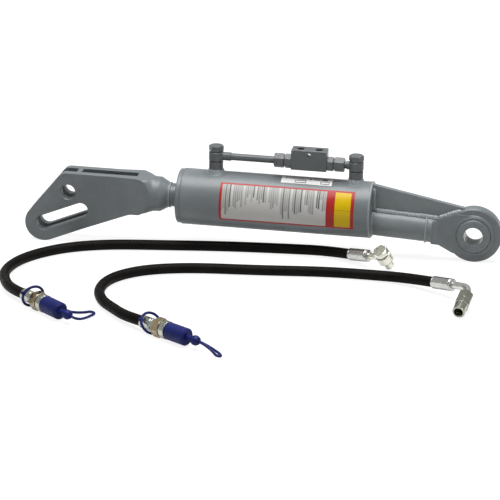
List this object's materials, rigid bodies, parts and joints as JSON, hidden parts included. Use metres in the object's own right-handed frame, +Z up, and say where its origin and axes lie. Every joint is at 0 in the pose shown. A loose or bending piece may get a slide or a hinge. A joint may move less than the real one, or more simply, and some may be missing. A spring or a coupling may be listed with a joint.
{
  "type": "tractor lift arm",
  "caption": "Hydraulic lift arm of a tractor: cylinder with a slotted fork and a ball eye, valve block and pipes on top, and loose hoses with quick couplers and dust caps.",
  "frame": {"origin": "on the ground below the middle of the arm, half way between the ends of fork and eye", "axes": "+X from the fork towards the ball eye, +Y away from the hoses, +Z up"},
  "size_m": [0.8145, 0.5516, 0.1814],
  "materials": {
    "grey_paint": "satin",
    "chromed_rod": "polished",
    "bare_steel": "machined",
    "zinc_steel": "zinc plated",
    "copper_washer": "plain",
    "black_rubber": "matt",
    "seal_plastic": "matt",
    "blue_plastic": "satin",
    "sticker_film": "printed film"
  },
  "bodies": {
    "barrel": {"cylinder_tube": "grey_paint", "gland": "grey_paint", "end_cap": "grey_paint", "rear_bar": "grey_paint", "ball_eye": "grey_paint", "gusset_plate": "grey_paint", "gusset_welds": "grey_paint", "barrel_welds": "grey_paint", "port_boss_front": "grey_paint", "port_boss_rear": "grey_paint", "port_boss_welds": "grey_paint", "banjo_front": "grey_paint", "banjo_rear": "grey_paint", "banjo_bolt_front": "grey_paint", "banjo_bolt_rear": "grey_paint", "pipe_long": "grey_paint", "pipe_short": "grey_paint", "pipe_nuts": "grey_paint", "valve_fitting_front": "grey_paint", "valve_fitting_rear": "grey_paint", "valve_block": "grey_paint", "banjo_washers": "grey_paint", "hose_a_ferrule": "zinc_steel", "hose_a_banjo": "zinc_steel", "hose_a_bolt": "zinc_steel", "hose_b_ferrule": "zinc_steel", "hose_b_elbow": "zinc_steel", "coupler_ferrule_a": "zinc_steel", "coupler_ferrule_b": "zinc_steel", "coupler_a": "zinc_steel", "coupler_b": "zinc_steel", "hose_a_washers": "copper_washer", "hose_a": "black_rubber", "hose_b": "black_rubber", "gland_o_ring": "black_rubber", "rod_wiper": "seal_plastic", "rod_seal": "seal_plastic", "strap_ring_a": "blue_plastic", "strap_ring_b": "blue_plastic", "sticker_main": "sticker_film", "sticker_small": "sticker_film"},
    "piston_seals": {"piston_seal": "seal_plastic", "piston_guide_band": "seal_plastic"},
    "rod": {"piston_rod": "chromed_rod", "piston": "bare_steel", "piston_nut": "bare_steel", "fork": "grey_paint"},
    "ball": {"swivel_ball": "bare_steel"},
    "poppet": {"check_poppet": "bare_steel"},
    "swivel_nut": {"hose_b_swivel_nut": "zinc_steel", "hose_b_adapter": "zinc_steel"},
    "cap_a": {"dust_cap_a": "blue_plastic", "strap_a": "blue_plastic"},
    "cap_b": {"dust_cap_b": "blue_plastic", "strap_b": "blue_plastic"}
  },
  "joints": [
    {"name": "rod_slide", "type": "slide", "parent": "barrel", "child": "piston_seals", "axis": [-0.9997, 0, 0.0224], "range_m": [0, 0.19]},
    {"name": "rod_turn", "type": "hinge", "parent": "piston_seals", "child": "rod", "pos_m": [0.13196, 0, 0.08063], "axis": [0.9997, 0, -0.0224], "continuous": true},
    {"name": "ball_sway", "type": "hinge", "parent": "barrel", "child": "ball", "pos_m": [0.36026, 0, 0.047], "axis": [0.0224, 0, 0.9997], "range_deg": [-12, 12]},
    {"name": "poppet_lift", "type": "slide", "parent": "barrel", "child": "poppet", "axis": [0.9997, 0, -0.0224], "range_m": [0, 0.003], "stiffness_N_per_m": 400, "springref_m": -0.004},
    {"name": "adapter_turn", "type": "hinge", "parent": "barrel", "child": "swivel_nut", "pos_m": [0.37143, -0.22489, 0.02195], "axis": [-0.1395, -0.9633, -0.2296], "continuous": true},
    {"name": "cap_a_pull", "type": "slide", "parent": "barrel", "child": "cap_a", "axis": [0.7604, -0.6494, 0], "range_m": [0, 0.028]},
    {"name": "cap_b_pull", "type": "slide", "parent": "barrel", "child": "cap_b", "axis": [0.829, -0.5592, 0], "range_m": [0, 0.028]}
  ]
}
